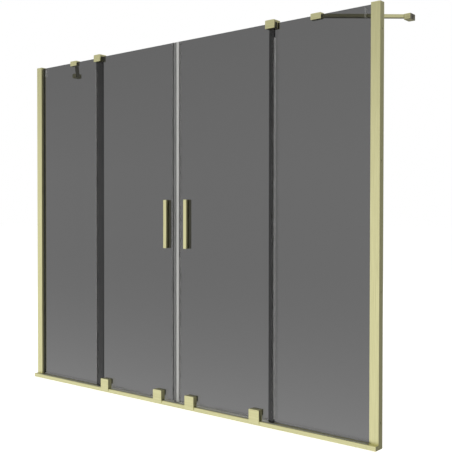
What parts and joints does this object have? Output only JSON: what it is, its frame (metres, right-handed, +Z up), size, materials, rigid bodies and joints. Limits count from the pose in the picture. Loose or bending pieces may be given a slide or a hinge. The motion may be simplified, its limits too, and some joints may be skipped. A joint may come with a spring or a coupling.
{
  "type": "sliding bath screen",
  "caption": "Wall-to-wall bath screen: tinted glass doors slide on roller carriages past fixed panes, in brushed gold profiles with slim bar handles, top guides and angled wall stays.",
  "frame": {"origin": "middle of the rail's underside, under the front face of the sliding glass", "axes": "+X along the screen to the right as seen from the room, +Y from the room towards the bath, +Z up"},
  "size_m": [1.8, 0.2925, 1.506],
  "materials": {
    "gold_profile": "brushed champagne gold anodising",
    "gold_fitting": "brushed champagne gold",
    "tinted_glass": "clear polished, grey tint",
    "black_rubber": "matt black",
    "clear_seal": "clear to milky plastic",
    "clear_pad": "clear soft plastic",
    "nylon": "matt off-white",
    "steel": "plain stainless"
  },
  "bodies": {
    "frame": {"bottom_rail": "gold_profile", "clamp_pads": "nylon", "door_stops": "clear_pad", "glazing_gaskets": "black_rubber", "grub_screws": "steel", "left_fixed_glass": "tinted_glass", "left_guide_liner": "nylon", "left_rail_cap": "gold_profile", "left_stay_bar": "gold_fitting", "left_stay_bracket": "gold_fitting", "left_stay_clamp": "gold_fitting", "left_top_guide": "gold_fitting", "left_wall_channel": "gold_profile", "left_wall_profile": "gold_profile", "lock_screws": "steel", "profile_caps": "gold_profile", "right_fixed_glass": "tinted_glass", "right_guide_liner": "nylon", "right_rail_cap": "gold_profile", "right_stay_bar": "gold_fitting", "right_stay_bracket": "gold_fitting", "right_stay_clamp": "gold_fitting", "right_top_guide": "gold_fitting", "right_wall_channel": "gold_profile", "right_wall_profile": "gold_profile", "sill_filler": "gold_profile", "sill_gaskets": "clear_seal", "stay_fixings": "steel"},
    "left_door": {"left_door_glass": "tinted_glass", "left_outer_handle": "gold_fitting", "left_inner_handle": "gold_fitting", "left_handle_studs": "steel", "left_handle_washers": "clear_pad", "left_outer_carriage": "gold_fitting", "left_inner_carriage": "gold_fitting", "left_back_plates": "gold_fitting", "left_carriage_pads": "clear_pad", "left_carriage_screws": "steel", "left_roller_axles": "steel", "left_magnetic_seal": "clear_seal", "left_lip_seal": "clear_seal", "left_drip_seal": "clear_seal"},
    "left_outer_wheel": {"left_outer_roller": "nylon"},
    "left_inner_wheel": {"left_inner_roller": "nylon"},
    "right_door": {"right_door_glass": "tinted_glass", "right_outer_handle": "gold_fitting", "right_inner_handle": "gold_fitting", "right_handle_studs": "steel", "right_handle_washers": "clear_pad", "right_outer_carriage": "gold_fitting", "right_inner_carriage": "gold_fitting", "right_back_plates": "gold_fitting", "right_carriage_pads": "clear_pad", "right_carriage_screws": "steel", "right_roller_axles": "steel", "right_magnetic_seal": "clear_seal", "right_lip_seal": "clear_seal", "right_drip_seal": "clear_seal"},
    "right_outer_wheel": {"right_outer_roller": "nylon"},
    "right_inner_wheel": {"right_inner_roller": "nylon"}
  },
  "joints": [
    {"name": "left_door_slide", "type": "slide", "parent": "frame", "child": "left_door", "axis": [-1, 0, 0], "range_m": [0, 0.36]},
    {"name": "left_outer_roller_spin", "type": "hinge", "parent": "left_door", "child": "left_outer_wheel", "pos_m": [-0.4055, -0.011, 0.02875], "axis": [0, 1, 0], "continuous": true},
    {"name": "left_inner_roller_spin", "type": "hinge", "parent": "left_door", "child": "left_inner_wheel", "pos_m": [-0.087, -0.011, 0.02875], "axis": [0, 1, 0], "continuous": true},
    {"name": "right_door_slide", "type": "slide", "parent": "frame", "child": "right_door", "axis": [1, 0, 0], "range_m": [0, 0.36]},
    {"name": "right_outer_roller_spin", "type": "hinge", "parent": "right_door", "child": "right_outer_wheel", "pos_m": [0.4055, -0.011, 0.02875], "axis": [0, 1, 0], "continuous": true},
    {"name": "right_inner_roller_spin", "type": "hinge", "parent": "right_door", "child": "right_inner_wheel", "pos_m": [0.087, -0.011, 0.02875], "axis": [0, 1, 0], "continuous": true}
  ],
  "couplings": [
    {"joint": "left_outer_roller_spin", "follows": "left_door_slide", "rad_per_m": -100},
    {"joint": "left_inner_roller_spin", "follows": "left_door_slide", "rad_per_m": -100},
    {"joint": "right_outer_roller_spin", "follows": "right_door_slide", "rad_per_m": 100},
    {"joint": "right_inner_roller_spin", "follows": "right_door_slide", "rad_per_m": 100}
  ]
}
